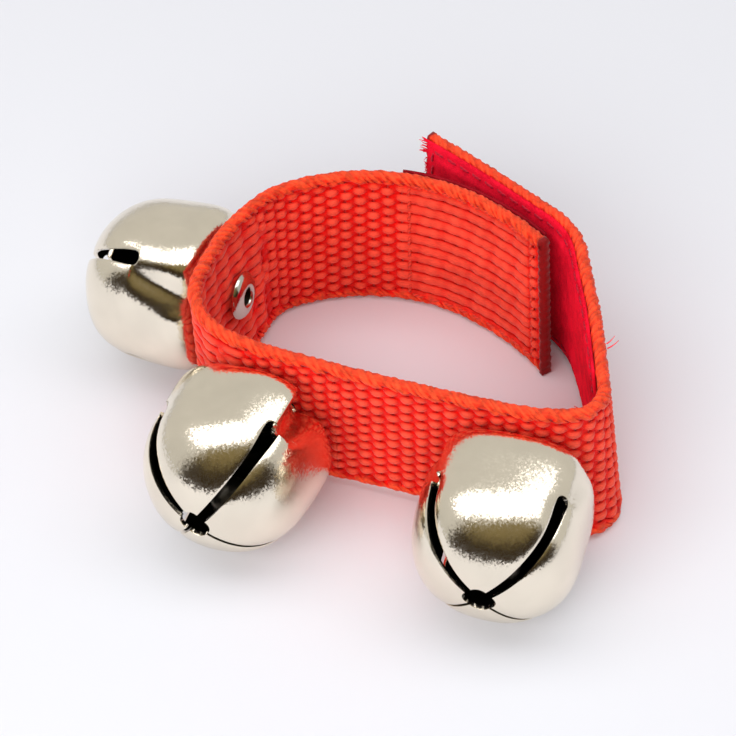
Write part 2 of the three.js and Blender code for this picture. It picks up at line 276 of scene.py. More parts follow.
def on_strap(strap, along, outward, up):
    """Points of the row frame on the strap: along it, outward from its middle surface, and up its width."""
    slant = strap.tail_slant * (1 - up / strap.width) * np.maximum(0, 1 - along / strap.tail_bend)
    x, y, heading = run_at(along - slant)
    lean, lift = stance_at(along)
    reach = outward + (up - strap.width / 2) * np.sin(lean)
    return np.stack(
        [
            x + np.sin(heading) * reach + PLAN_ORIGIN[0] * MM,
            y - np.cos(heading) * reach + PLAN_ORIGIN[1] * MM,
            lift + up * np.cos(lean),
        ],
        axis=-1,
    )


def places_of(mesh):
    """A mesh's vertex places as an array."""
    places = np.empty(len(mesh.vertices) * 3, np.float32)
    mesh.vertices.foreach_get("co", places)
    return places.reshape(-1, 3).astype(float)


def set_places(mesh, places):
    """Moves a mesh's vertices to an array of places."""
    mesh.vertices.foreach_set("co", places.astype(np.float32).ravel())
    mesh.update()


def bend_cloth(mesh, strap):
    """Keeps flat work's places as the attribute flat, then bends it: x along, y outward, z up."""
    flat = places_of(mesh)
    attribute = mesh.attributes.new("flat", "FLOAT_VECTOR", "POINT")
    attribute.data.foreach_set("vector", flat.astype(np.float32).ravel())
    set_places(mesh, on_strap(strap, flat[:, 0], flat[:, 1], flat[:, 2]))
    # Along, outward and up are left-handed, so the bend has turned the faces inwards
    mesh.flip_normals()


def mesh_of(bm, name):
    """A new mesh of modelled work."""
    mesh = bpy.data.meshes.new(name)
    bm.to_mesh(mesh)
    bm.free()
    return mesh


def close_up(mesh, merge):
    """Merges a mesh's doubles, fills its open ends and turns its faces outwards."""
    bm = bmesh.new()
    bm.from_mesh(mesh)
    bmesh.ops.remove_doubles(bm, verts=bm.verts, dist=merge)
    open_edges = [edge for edge in bm.edges if edge.is_boundary]
    bmesh.ops.holes_fill(bm, edges=open_edges, sides=0)
    bmesh.ops.recalc_face_normals(bm, faces=bm.faces)
    bm.to_mesh(mesh)
    bm.free()


def show(name, mesh, *materials):
    """A smooth-shaded object of a finished mesh."""
    for material in materials:
        mesh.materials.append(material)
    mesh.shade_smooth()
    made = bpy.data.objects.new(name, mesh)
    bpy.context.scene.collection.objects.link(made)
    return made


def add_node(tree, kind, inputs=(), **settings):
    """Adds a shader node with its settings, and sets or links its inputs."""
    made = tree.nodes.new("ShaderNode" + kind)
    for name, value in settings.items():
        setattr(made, name, value)
    for name, value in dict(inputs).items():
        if isinstance(value, bpy.types.NodeSocket):
            tree.links.new(value, made.inputs[name])
        else:
            made.inputs[name].default_value = value
    return made


def calculate(tree, operation, one, two=0.0):
    """A sum on one or two values."""
    return add_node(tree, "Math", {0: one, 1: two}, operation=operation).outputs[0]


def rescale(tree, value, low, high, to_low=0.0, to_high=1.0, curve="LINEAR"):
    """A value moved from one range to another and held in it."""
    inputs = {"Value": value, "From Min": low, "From Max": high, "To Min": to_low, "To Max": to_high}
    return add_node(tree, "MapRange", inputs, interpolation_type=curve).outputs[0]


def smooth_step(tree, value, low, high):
    """A smooth step from 0 at one value to 1 at another."""
    return rescale(tree, value, low, high, curve="SMOOTHSTEP")


def mixed(tree, share, one, two):
    """A colour between two colours."""
    return add_node(tree, "Mix", {0: share, 6: one, 7: two}, data_type="RGBA").outputs[2]


def speckle(tree, vector, size, detail=2.0, rough=0.5):
    """Noise with spots of a size."""
    inputs = {"Vector": vector, "Scale": 1 / size, "Detail": detail, "Roughness": rough}
    return add_node(tree, "TexNoise", inputs).outputs[0]


def shaded(tree, colour, value):
    """A colour made lighter or darker."""
    return add_node(tree, "HueSaturation", {"Color": colour, "Value": value}).outputs[0]


def raised(tree, height, strength, distance):
    """A normal that follows a height."""
    inputs = {"Height": height, "Strength": strength, "Distance": distance}
    return add_node(tree, "Bump", inputs).outputs[0]


def flat_place(tree):
    """Where a spot of cloth lay before it was bent."""
    return add_node(tree, "Attribute", attribute_name="flat").outputs["Vector"]


def start_material(name):
    """A named material with an empty tree."""
    material = bpy.data.materials.new(name)
    material.use_nodes = True
    material.node_tree.nodes.clear()
    return material, material.node_tree


def end_material(tree, inputs):
    """Ends a material's tree with its shader."""
    shader = add_node(tree, "BsdfPrincipled", inputs)
    add_node(tree, "OutputMaterial", {"Surface": shader.outputs[0]})


def webbing_material(strap, finishes):
    """Spun polypropylene yarn: matt orange-red crowns with painted shade between them, a lighter selvedge,
    and painted shade at the cut ends.
    """
    material, tree = start_material("woven_red_webbing")
    half_width = strap.width / 2
    half_run = RUN_LENGTH / 2
    flat = flat_place(tree)
    part = add_node(tree, "SeparateXYZ", {0: flat})
    away = calculate(tree, "ABSOLUTE", part.outputs["Y"])
    # Painted shade: the yarn turns deep red where it dips away from its crown
    crown = smooth_step(tree, away, 0.25 * MM, 0.85 * MM)
    depth = mixed(tree, crown, finishes.yarn_gap_shade, finishes.yarn)
    edge = calculate(tree, "ABSOLUTE", calculate(tree, "SUBTRACT", part.outputs["Z"], half_width))
    rim = smooth_step(tree, edge, half_width - 3.0 * MM, half_width - 1.5 * MM)
    # On the selvedge a loop's crest is orange and its sides, which lie nearer the core yarn, carry painted
    # shade in deep red
    over = calculate(tree, "SUBTRACT", edge, half_width - LOOP_INSET)
    section = add_node(tree, "CombineXYZ", {0: away, 1: calculate(tree, "MAXIMUM", over)})
    reach = add_node(tree, "VectorMath", {0: section.outputs[0]}, operation="LENGTH")
    crest = smooth_step(tree, reach.outputs["Value"], 0.62 * MM, 0.92 * MM)
    loop = mixed(tree, crest, finishes.yarn_gap_shade, finishes.selvedge)
    edged = mixed(tree, rim, depth, loop)
    # Fibres of 0.16 mm that run along the yarn
    stretch = add_node(tree, "Mapping", {"Vector": flat, "Scale": (0.18, 1.0, 1.0)})
    fibre = speckle(tree, stretch.outputs[0], 0.16 * MM)
    shade = rescale(tree, fibre, 0.25, 0.75, 0.8, 1.12)
    # Batches of dye and soiling over about 6 mm
    cloudy = rescale(tree, speckle(tree, flat, 6 * MM, 3.0), 0.3, 0.7, 0.9, 1.06)
    worn = calculate(tree, "MULTIPLY", shade, cloudy)
    # The selvedge's loops, 1 mm apart, take the dye unevenly
    streaky = rescale(tree, speckle(tree, flat, 0.9 * MM, 1.0), 0.3, 0.7, 0.72, 1.2)
    loops = add_node(tree, "Mix", {0: rim, 2: 1.0, 3: streaky}, data_type="FLOAT")
    uneven = calculate(tree, "MULTIPLY", worn, loops.outputs[0])
    # Painted shade darkens both cut ends, where the hot knife melted the yarn
    outer = calculate(tree, "ABSOLUTE", calculate(tree, "SUBTRACT", part.outputs["X"], half_run))
    fused_end_shade = rescale(tree, outer, half_run - 0.8 * MM, half_run - 0.3 * MM)
    ended = mixed(tree, fused_end_shade, edged, finishes.fused_end_shade)
    end_material(tree, {
        "Base Color": shaded(tree, ended, uneven),
        "Roughness": 0.72,
        "Specular IOR Level": 0.3,
        "Sheen Weight": 0.12,
        "Sheen Roughness": 0.4,
        "Normal": raised(tree, fibre, 0.5, 0.06 * MM),
    })
    return material


def pile_material(name, colour, darkest, grain):
    """Brushed nylon tape: deep and matt, unevenly brushed."""
    material, tree = start_material(name)
    flat = flat_place(tree)
    fuzz = speckle(tree, flat, grain, 4.0, 0.7)
    both = calculate(tree, "ADD", fuzz, speckle(tree, flat, 12 * grain))
    end_material(tree, {
        "Base Color": shaded(tree, colour, rescale(tree, both, 0.75, 1.25, darkest, 1.15)),
        "Roughness": 0.95,
        "Specular IOR Level": 0.05,
        "Normal": raised(tree, fuzz, 0.7, 0.15 * MM),
    })
    return material


def thread_material(name, colour):
    """Twisted polyester thread: a soft gloss, with plies about 0.4 mm apart."""
    material, tree = start_material(name)
    waves = {"Vector": flat_place(tree), "Scale": 1 / (1.2 * MM), "Distortion": 1.0}
    ply = add_node(tree, "TexWave", waves, bands_direction="DIAGONAL").outputs["Fac"]
    end_material(tree, {
        "Base Color": shaded(tree, colour, rescale(tree, ply, 0.0, 1.0, 0.75, 1.1)),
        "Roughness": 0.6,
        "Normal": raised(tree, ply, 0.5, 0.04 * MM),
    })
    return material


def plated_material(plating, colour):
    """Plated or tumbled steel, with grains that each lean a little."""
    material, tree = start_material(plating.name)
    place = add_node(tree, "TexCoord").outputs["Object"]
    # Real grains are finer; these are as coarse as they need to be to show
    grain = add_node(tree, "TexVoronoi", {"Vector": place, "Scale": 1 / plating.grit}).outputs["Color"]
    lean = add_node(tree, "VectorMath", {0: grain, 1: (0.5, 0.5, 0.5)}, operation="SUBTRACT")
    small = add_node(tree, "VectorMath", {0: lean.outputs[0], "Scale": plating.tilt}, operation="SCALE")
    straight = add_node(tree, "NewGeometry").outputs["Normal"]
    leaning = add_node(tree, "VectorMath", {0: straight, 1: small.outputs[0]}, operation="ADD")
    normal = add_node(tree, "VectorMath", {0: leaning.outputs[0]}, operation="NORMALIZE")
    haze = speckle(tree, place, 5 * MM)
    end_material(tree, {
        "Base Color": shaded(tree, colour, rescale(tree, haze, 0.3, 0.7, 1.0, 0.92)),
        "Metallic": 1.0,
        "Roughness": rescale(tree, haze, 0.3, 0.7, plating.smooth, plating.rough),
        "Normal": normal.outputs[0],
    })
    return material


WARP, WEFT, LOW_EDGE, HIGH_EDGE = range(4)
RINGS_PER_PICK = 6
LOOPS_PER_PICK = 2


def add_tubes(bm, kind, count, rings, sides):
    """Adds flat grids, to be rolled into tubes, at a height that says their kind."""
    rows = count * (sides + 1) - 1
    made = bmesh.ops.create_grid(bm, x_segments=rings, y_segments=rows, size=0.5, calc_uvs=True)
    bmesh.ops.translate(bm, verts=made["verts"], vec=(0.5, 0.5, kind))
    faces = {face for vert in made["verts"] for face in vert.link_faces}
    between = [face for face in faces if math.ceil(face.calc_center_median().y * rows) % (sides + 1) == 0]
    bmesh.ops.delete(bm, geom=between, context="FACES_ONLY")


def tube_parts(places, count, sides):
    """Share along, angle round and number of each vertex of flat grids."""
    row = np.round(places[:, 1] * (count * (sides + 1) - 1)).astype(int)
    return places[:, 0], (row % (sides + 1)) / sides * 2 * math.pi, row // (sides + 1)


def weave(strap, start, end):
    """Flat woven webbing between two crossings of the weave: warps, wefts and looped selvedges."""
    picks = round((end - start) / strap.pick)
    kinds = {
        WARP: (warp_places, strap.warps + 2, picks * RINGS_PER_PICK, 8),
        WEFT: (weft_places, picks, strap.warps * 2, 6),
        LOW_EDGE: (edge_places, picks * LOOPS_PER_PICK, 11, 8),
        HIGH_EDGE: (edge_places, picks * LOOPS_PER_PICK, 11, 8),
    }
    bm = bmesh.new()
    bm.loops.layers.uv.new("OFBake")
    for kind, (_, count, rings, sides) in kinds.items():
        add_tubes(bm, kind, count, rings, sides)
    mesh = mesh_of(bm, "webbing")
    places = places_of(mesh)
    kind = np.round(places[:, 2]).astype(int)
    flat = np.zeros_like(places)
    for one, (shape, count, _, sides) in kinds.items():
        share, angle, number = tube_parts(places[kind == one], count, sides)
        flat[kind == one] = shape(strap, start, end, share, angle, number)
    high = kind == HIGH_EDGE
    flat[high, 2] = strap.width - flat[high, 2]
    flat[high, 1] *= -1
    spread_map(mesh, kind)
    set_places(mesh, flat)
    close_up(mesh, 0.004 * MM)
    return mesh


def spread_map(mesh, kind):
    """Gives each kind of yarn its own band of the texture map."""
    corners = np.empty(len(mesh.loops), np.int32)
    mesh.loops.foreach_get("vertex_index", corners)
    layer = mesh.uv_layers["OFBake"]
    spots = np.empty(len(corners) * 2, np.float32)
    layer.uv.foreach_get("vector", spots)
    u, v = spots.reshape(-1, 2).T
    yarn = kind[corners]
    low = np.array([0, 0.74, 0.87, 0.94])[yarn]
    tall = np.array([0.73, 0.12, 0.06, 0.06])[yarn]
    placed = np.stack([np.where(yarn == WARP, u, v), low + tall * np.where(yarn == WARP, v, u)], -1)
    layer.uv.foreach_set("vector", placed.astype(np.float32).ravel())


def held_flat(along, number):
    """How far each warp lies flat: between the hook patch's seams, and raggedly round the left rivet."""
    held = 0
    for zone, at in ((SEAM_RIBS, along), (RIVET_RIBS, along + RAGGED * (chance(number, 7) - 0.5))):
        rise = (at - zone.start * MM) / (zone.rise * MM)
        fall = (zone.end * MM - at) / (zone.fall * MM)
        held = held + zone.held * ease(np.minimum(rise, fall))
    return held


def warp_gap(strap):
    """Spacing of the warp yarns."""
    return (strap.width - 2 * EDGE_INSET) / (strap.warps - 1)


def chance(number, seed):
    """A steady random share from 0 to 1 for each number."""
    spread = np.sin(number * 12.9898 + seed * 78.233) * 43758.5453
    return spread - np.floor(spread)


def warp_places(strap, start, end, share, angle, number):
    """Warp yarns: lens-shaped floats on alternate faces, and a straight core yarn in each selvedge."""
    along = start + (end - start) * share
    core = (number == 0) | (number > strap.warps)
    shift = 0.1 * (chance(number, 1) - 0.5)
    held = held_flat(along, number)
    ribbed = np.cos(math.pi * number) * (0.85 + 0.15 * np.cos(2 * math.pi * along / strap.pick + number))
    wave = np.cos(math.pi * (along / strap.pick + number + shift)) * (1 - held) + ribbed * held
    swing = np.sign(wave) * np.abs(wave) ** 0.7
    crown = np.abs(wave)
    uneven = chance(np.round(along / strap.pick) * 31 + number, 2) - 0.5
    loose = 0.5 + (0.2 + 0.1 * uneven) * crown ** 0.7
    wide = np.where(core, 0.78, loose + (0.94 + 0.06 * uneven - loose) * held) * MM
    tall = np.where(core, 0.78, 0.34 + (0.08 + 0.08 * uneven) * crown - 0.08 * held) * MM
    crimp = np.where(core, 0, strap.crimp)
    wander = 0.05 * MM * np.sin(along / (4.1 * MM) + number * 2.4)
    rank = np.clip(number - 1, 0, strap.warps - 1)
    middle = EDGE_INSET + warp_gap(strap) * rank + wander
    middle = np.where(number == 0, CORE_INSET, middle)
    middle = np.where(number > strap.warps, strap.width - CORE_INSET, middle)
    return np.stack([along, crimp * swing + tall * np.sin(angle), middle + wide * np.cos(angle)], -1)


def weft_places(strap, start, end, share, angle, number):
    """Weft yarns: across the strap at each pick, passing under one warp and over the next."""
    pick = np.round(start / strap.pick) + number + 0.5
    up = 0.9 * MM + (strap.width - 1.8 * MM) * share
    warp = (up - EDGE_INSET) / warp_gap(strap)
    away = -0.12 * MM * np.cos(math.pi * (pick + warp))
    along = pick * strap.pick + 1.16 * MM * np.cos(angle)
    return np.stack([along, away + 0.3 * MM * np.sin(angle), up], -1)


def edge_places(strap, start, end, share, angle, number):
    """Loops of the weft over an edge and onto both faces, slanting like a plait."""
    leg = 1.0 * MM
    bend = 0.7 * MM
    arc = math.pi * bend
    path = share * (2 * leg + arc)
    turn = np.clip((path - leg) / bend, 0, math.pi)
    inward = np.maximum(leg - path, 0) + np.maximum(path - leg - arc, 0)
    fat = (0.18 + 0.09 * chance(number, 3)) * MM * np.sqrt(np.clip(1.03 - (2 * share - 1) ** 6, 0.02, 1))
    sunk = bend * (1 + 0.1 * chance(number, 6)) * (1 - 0.5 * (inward / leg) ** 3)
    out = sunk + fat * np.sin(angle)
    slant = (share - 0.5) * (1.4 + 1.4 * chance(number, 4)) * strap.pick
    lie = (number + 0.5 + 0.9 * (chance(number, 5) - 0.5)) * strap.pick / LOOPS_PER_PICK
    along = start + lie + slant + 1.9 * fat * np.cos(angle)
    up = LOOP_INSET - out * np.sin(turn) + inward
    return np.stack([np.clip(along, 0, RUN_LENGTH), out * np.cos(turn), up], -1)


def seal_end(bm, strap, along):
    """A bar of melted yarn where the hot knife cut the webbing, which the webbing's material darkens with
    painted shade.
    """
    made = bmesh.ops.create_cube(bm, size=1)
    verts = made["verts"]
    bmesh.ops.scale(bm, vec=(0.7 * MM, 1.5 * MM, strap.width - 0.5 * MM), verts=verts)
    bmesh.ops.translate(bm, vec=(along, 0, strap.width / 2), verts=verts)
    tall = [edge for edge in bm.edges if abs((edge.verts[0].co - edge.verts[1].co).z) > MM]
    bmesh.ops.subdivide_edges(bm, edges=tall, cuts=60, use_grid_fill=True)
    rows = [vert for vert in bm.verts if abs(vert.co.x - along) < 0.4 * MM and abs(vert.co.y) > 0.7 * MM]
    for vert in rows:
        vert.co.y += 0.12 * MM * math.sin(vert.co.z / (0.21 * MM)) * math.copysign(1, vert.co.y)
        vert.co.x += 0.08 * MM * noise.noise(vert.co / (0.7 * MM))


class WRIST_OT_webbing(bpy.types.Operator):
    """Weave the strap and bend it into its loop"""

    bl_idname = "wrist.webbing"
    bl_label = "Webbing"

    def execute(self, context):
        strap = context.scene.wrist_strap
        material = webbing_material(strap, context.scene.wrist_finishes)
        picks = math.floor(RUN_LENGTH / strap.pick)
        ends = {"webbing_left": (0, CLOTH_JOIN), "webbing_right": (CLOTH_JOIN, picks * strap.pick)}
        bends = {
            "webbing_left": ("tail", "tail_flex", Vector((1, 0, 0)), ("strap_band", "strap_tail")),
            "webbing_right": ("flap", "flap_opening", Vector((0.7, 0.7, 0)).normalized(), ("strap_flap",)),
        }
        for name, (start, end) in ends.items():
            mesh = weave(strap, start, end)
            bm = bmesh.new()
            seal_end(bm, strap, 0.1 * MM if start == 0 else end - 0.1 * MM)
            bm.from_mesh(mesh)
            bmesh.ops.recalc_face_normals(bm, faces=bm.faces)
            bm.to_mesh(mesh)
            bm.free()
            bend_cloth(mesh, strap)
            piece = show(name, mesh, material)
            body, hinge, ahead, nodes = bends[name]
            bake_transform(piece)
            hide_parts(*nodes)
        return {"FINISHED"}


def tape_blank(strap, start, end, side, step):
    """A flat tape with a low sewn border and a raised field, outside (1) or inside (-1) the webbing."""
    low = strap.tape_inset
    high = strap.width - strap.tape_inset
    bm = bmesh.new()
    across = round((end - start) / step)
    tall = round((high - low) / step)
    made = bmesh.ops.create_grid(bm, x_segments=across, y_segments=tall, size=0.5)
    bmesh.ops.scale(bm, vec=(end - start, high - low, 1), verts=made["verts"])
    bmesh.ops.translate(bm, vec=((start + end) / 2, (low + high) / 2, 0), verts=made["verts"])
    bottom = bmesh.ops.extrude_face_region(bm, geom=bm.faces[:])
    under = {item for item in bottom["geom"] if isinstance(item, bmesh.types.BMVert)}
    seat = strap.thickness / 2 + 0.02 * MM
    for vert in bm.verts:
        x, z, _ = vert.co
        inset = min(x - start, end - x, z - low, high - z)
        share = ease((inset - strap.tape_border + 0.5 * MM) / (0.9 * MM))
        height = strap.tape_base + (strap.tape_field - strap.tape_base) * share
        selvedge = min(inset / (0.3 * MM), 1)
        height *= 0.7 + 0.3 * selvedge
        if vert in under:
            height = 0
        else:
            spot = Vector((x, 0, z))
            loops = 0.1 * MM * share * noise.noise(spot / (0.6 * MM))
            height += loops + 0.03 * MM * noise.noise(spot / (0.25 * MM))
        vert.co = (x, side * (seat + height), z)
    bmesh.ops.recalc_face_normals(bm, faces=bm.faces)
    return bm


def roll_tubes(name, count, rings, sides):
    """A mesh of flat grids for tubes, and each vertex's share along, angle round and number."""
    bm = bmesh.new()
    bm.loops.layers.uv.new("OFBake")
    add_tubes(bm, 0, count, rings, sides)
    mesh = mesh_of(bm, name)
    return mesh, *tube_parts(places_of(mesh), count, sides)


def draw_fibres(fibres):
    """Thin bent fibres from rows of root, reach, bow and thickness, in millimetres."""
    mesh, share, angle, number = roll_tubes("fibres", len(fibres), 4, 4)
    root, reach, bow, thick = (np.array([fibre[i] for fibre in fibres]) * MM for i in range(4))
    ahead = reach / np.linalg.norm(reach, axis=1)[:, None]
    across = np.cross(ahead, (0.31, 0.52, 0.8))
    across /= np.linalg.norm(across, axis=1)[:, None]
    over = np.cross(ahead, across)
    fat = thick[number] * (1 - 0.55 * share)
    places = root[number] + reach[number] * share[:, None] + bow[number] * (share * share)[:, None]
    aside = across[number] * (fat * np.cos(angle))[:, None]
    places += aside + over[number] * (fat * np.sin(angle))[:, None]
    set_places(mesh, places)
    close_up(mesh, 0.002 * MM)
    return mesh


def finish_tape(bm, fibres, strap):
    """Adds fibres to a flat tape and bends both onto the strap."""
    bm.from_mesh(draw_fibres(fibres))
    mesh = mesh_of(bm, "tape")
    bend_cloth(mesh, strap)
    return mesh


class WRIST_OT_loop_patch(bpy.types.Operator):
    """Sew the brushed loop tape inside the flap, with its frayed fringe"""

    bl_idname = "wrist.loop_patch"
    bl_label = "Loop patch"

    def execute(self, context):
        strap = context.scene.wrist_strap
        finishes = context.scene.wrist_finishes
        bm = tape_blank(strap, strap.loop_from, strap.loop_to, -1, 0.36 * MM)
        rng = np.random.default_rng(5)
        seat = strap.thickness / 2 / MM
        high = (strap.width - strap.tape_inset) / MM
        first = strap.loop_from / MM
        last = strap.loop_to / MM
        fibres = []
        for _ in range(EDGE_FIBRES):
            root = (rng.uniform(first + 1, last - 0.2), -seat - rng.uniform(0.1, 0.45), high - 0.15)
            reach = (rng.normal(0, 0.4), -rng.uniform(-0.1, 0.4), rng.uniform(0.3, 0.7))
            fibres.append((root, reach, (rng.normal(0, 0.2), 0, 0), 0.04))
        for _ in range(END_FIBRES):
            up = high - (high - 0.7) * rng.uniform(0, 1) ** 2
            root = (last - 0.2, -seat - rng.uniform(0.1, 0.45), up)
            far = rng.uniform(0.2, 0.5) + rng.uniform(0.3, 1.0) * (up > high - 2.5)
            reach = (far, -rng.uniform(0, 0.3), rng.normal(0.1, 0.2))
            fibres.append((root, reach, (0, -rng.uniform(0, 0.3), rng.normal(0, 0.2)), 0.09))
        # Loose threads over the upper edge and at the lower corner of the tape
        for along, up, far in LOOSE_THREADS:
            root = (along, math.copysign(seat, far), up)
            fibres.append((root, (0.4, far, 0.2), (0.3, 0.1 * far, 0.5), 0.12))
        mesh = finish_tape(bm, fibres, strap)
        material = pile_material("brushed_loop_tape", finishes.pile, 0.7, 0.25 * MM)
        piece = show("loop_tape", mesh, material)
        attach(piece, "flap")
        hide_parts("loop_patch")
        return {"FINISHED"}


class WRIST_OT_hook_patch(bpy.types.Operator):
    """Sew the hook tape outside the tail, with its rows of hooks"""

    bl_idname = "wrist.hook_patch"
    bl_label = "Hook patch"

    def execute(self, context):
        strap = context.scene.wrist_strap
        finishes = context.scene.wrist_finishes
        bm = tape_blank(strap, strap.hook_from, strap.hook_to, 1, 0.5 * MM)
        for vert in bm.verts:
            vert.co.y = min(vert.co.y, strap.thickness / 2 + strap.tape_base)
        rng = np.random.default_rng(9)
        border = (strap.tape_inset + strap.tape_border) / MM
        fibres = []
        rows = np.arange(strap.hook_from / MM + border, strap.hook_to / MM - border, HOOK_GAP)
        for row, along in enumerate(rows):
            for up in np.arange(border + 0.5 * (1 + row % 2), strap.width / MM - border, HOOK_GAP):
                lean = (1 if row % 2 else -1) * rng.uniform(0.25, 0.45)
                root = (along + rng.normal(0, 0.06), strap.thickness / 2 / MM + 0.35, up)
                fibres.append((root, (rng.normal(0, 0.08), 0.62, lean), (0, -0.12, 0.5 * lean), 0.1))
        mesh = finish_tape(bm, fibres, strap)
        material = pile_material("woven_hook_tape", finishes.hooks, 0.6, 0.4 * MM)
        piece = show("hook_tape", mesh, material)
        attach(piece, "tail")
        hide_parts("hook_patch")
        return {"FINISHED"}


def stitch_box(strap, start, end, face, side):
    """Flat stitches round a tape's border, each a bulging length of thread that dips at both ends."""
    low = strap.tape_inset + strap.stitch_inset
    high = strap.width - low
    left = start + strap.stitch_inset
    right = end - strap.stitch_inset
    corners = [(left, low), (right, low), (right, high), (left, high)]
    seams = []
    for i, (x, z) in enumerate(corners):
        to_x, to_z = corners[(i + 1) % 4]
        count = round(math.hypot(to_x - x, to_z - z) / strap.stitch)
        shares = [k / count for k in range(count + 1)]
        spots = [(x + (to_x - x) * share, z + (to_z - z) * share) for share in shares]
        seams += [one + two for one, two in zip(spots, spots[1:])]
    mesh, share, angle, number = roll_tubes("stitches", len(seams), 10, 8)
    ends = np.array(seams)[number]
    ahead = ends[:, 2:] - ends[:, :2]
    length = np.hypot(*ahead.T)
    ahead /= length[:, None]
    run = (0.06 + 0.88 * share) * length
    fat = 0.2 * MM * np.sqrt(np.clip(1.02 - (2 * share - 1) ** 8, 0.02, 1))
    dome = 0.16 * MM - 0.5 * MM * np.abs(2 * share - 1) ** 5
    wide = fat * 1.15 * np.cos(angle)
    slant = 0.12 * MM * (2 * share - 1)
    x = ends[:, 0] + ahead[:, 0] * run - ahead[:, 1] * (wide + slant)
    z = ends[:, 1] + ahead[:, 1] * run + ahead[:, 0] * (wide + slant)
    set_places(mesh, np.stack([x, face + side * (dome + fat * np.sin(angle)), z], -1))
    close_up(mesh, 0.002 * MM)
    return mesh


class WRIST_OT_stitching(bpy.types.Operator):
    """Sew both tapes to the webbing, needle and bobbin sides"""

    bl_idname = "wrist.stitching"
    bl_label = "Stitching"

    def execute(self, context):
        strap = context.scene.wrist_strap
        finishes = context.scene.wrist_finishes
        needle = thread_material("twisted_red_thread", finishes.thread)
        bobbin = thread_material("twisted_crimson_thread", finishes.bobbin)
        cloth = strap.thickness / 2 - 0.42 * MM
        tape = strap.thickness / 2 + strap.tape_base - 0.12 * MM
        seams = (
            ("hook_needle", strap.hook_from, strap.hook_to, -cloth, -1, "tail", needle),
            ("hook_bobbin", strap.hook_from, strap.hook_to, tape, 1, "tail", bobbin),
            ("loop_needle", strap.loop_from, strap.loop_to, cloth, 1, "flap", needle),
            ("loop_bobbin", strap.loop_from, strap.loop_to, -tape, -1, "flap", bobbin),
        )
        for name, start, end, face, side, body, material in seams:
            mesh = stitch_box(strap, start, end, face, side)
            bend_cloth(mesh, strap)
            piece = show(f"{name}_stitches", mesh, material)
            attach(piece, body)
            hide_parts(f"{name}_thread")
        return {"FINISHED"}


def bell_seat(strap, bell, shape):
    """The frame of a bell's seat: +Y out along its rivet, +Z up the strap."""
    along = shape.at * MM
    _, _, heading = run_at(along)
    heading += math.radians(shape.swing)
    lean, _ = stance_at(along)
    outward = Vector((math.sin(heading), -math.cos(heading), 0))
    up = Vector((0, 0, math.cos(lean))) + outward * math.sin(lean)
    axis = outward * math.cos(lean) - Vector((0, 0, math.sin(lean)))
    base = Vector(on_strap(strap, np.array(along), 0.0, strap.width / 2 + bell.rise))
    base += axis * (strap.thickness / 2 * math.cos(lean) + bell.seat_gap)
    seat = Matrix((axis.cross(up), axis, up)).transposed().to_4x4()
    seat.translation = base
    return seat


def bell_meridian(bell, shape, square):
    """A bell's outline as arrays of distance along it, radius and height over the base."""
    radius = bell.diameter / 2
    half = shape.length * MM / 2
    flat = (bell.base / radius) ** bell.square_base
    sink = half * (1 - (1 - flat) ** (1 / bell.square_base))
    first = math.asin((bell.base / radius) ** (bell.square_base / 2))
    last = math.pi - math.asin((bell.mouth / radius) ** (square / 2))
    angle = np.linspace(first, last, 1200)
    power = np.where(angle < math.pi / 2, bell.square_base, square)
    wide = radius * np.sin(angle) ** (2 / power)
    rise = half - half * np.sign(np.cos(angle)) * np.abs(np.cos(angle)) ** (2 / power) - sink
    wide = np.concatenate([[1.85 * MM], wide])
    rise = np.concatenate([[0], np.maximum(rise, 0)])
    run = np.concatenate([[0], np.cumsum(np.hypot(np.diff(wide), np.diff(rise)))])
    return run, wide, rise


